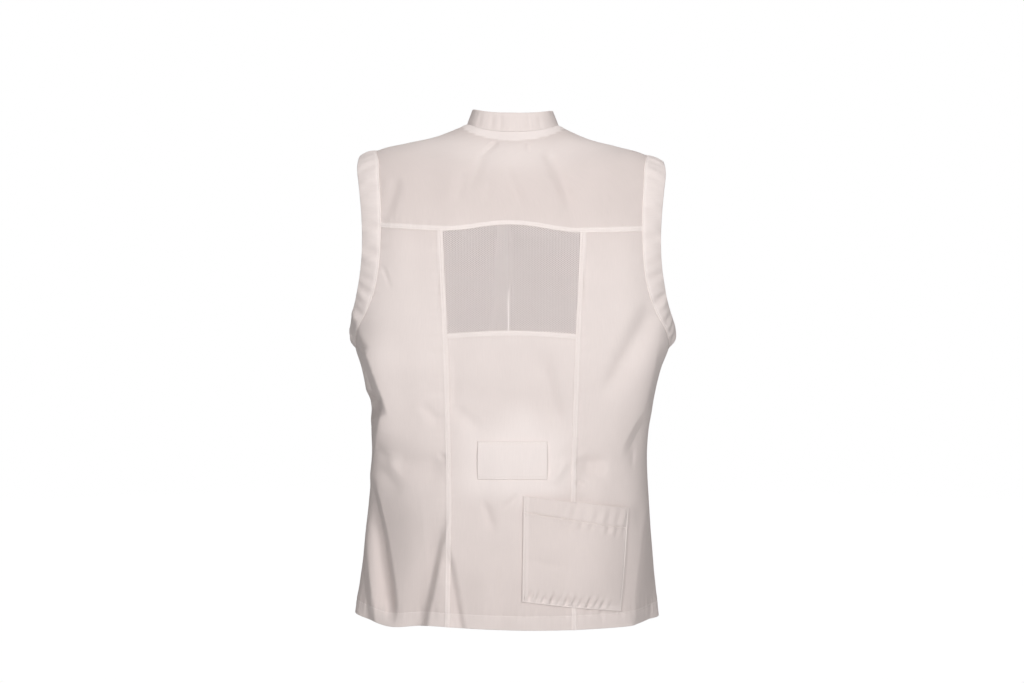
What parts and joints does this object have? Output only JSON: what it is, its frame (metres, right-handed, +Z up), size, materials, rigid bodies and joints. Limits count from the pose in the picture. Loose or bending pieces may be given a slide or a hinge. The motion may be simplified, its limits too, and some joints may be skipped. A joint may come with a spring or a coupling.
{
  "type": "chef vest",
  "caption": "sleeveless white chef's vest with stand collar, net vent in the back, loop tab at the waist and a patch pocket, kept in its worn shape",
  "frame": {"origin": "middle of the neck, level with the top of the shoulders, where the vest sits on the wearer", "axes": "+Z is up. +Y is the way the wearer faces, so the back faces -Y. +X is the wearer's right"},
  "size_m": [0.4712, 0.2553, 0.736],
  "materials": {
    "cloth": "off-white poly-cotton poplin, one layer, fine plain weave",
    "double_cloth": "the same cloth folded double and stitched",
    "net": "open knitted polyester net with staggered holes"
  },
  "bodies": {
    "root": {"yoke": "cloth", "mesh_panel": "net", "back_centre": "cloth", "back_side_left": "cloth", "back_side_right": "cloth", "front_left": "cloth", "front_right": "cloth", "arm_band_left": "double_cloth", "arm_band_right": "double_cloth", "collar": "double_cloth", "neck_tape": "double_cloth", "neck_label": "double_cloth", "waist_tab": "double_cloth", "pocket": "double_cloth"}
  },
  "joints": []
}
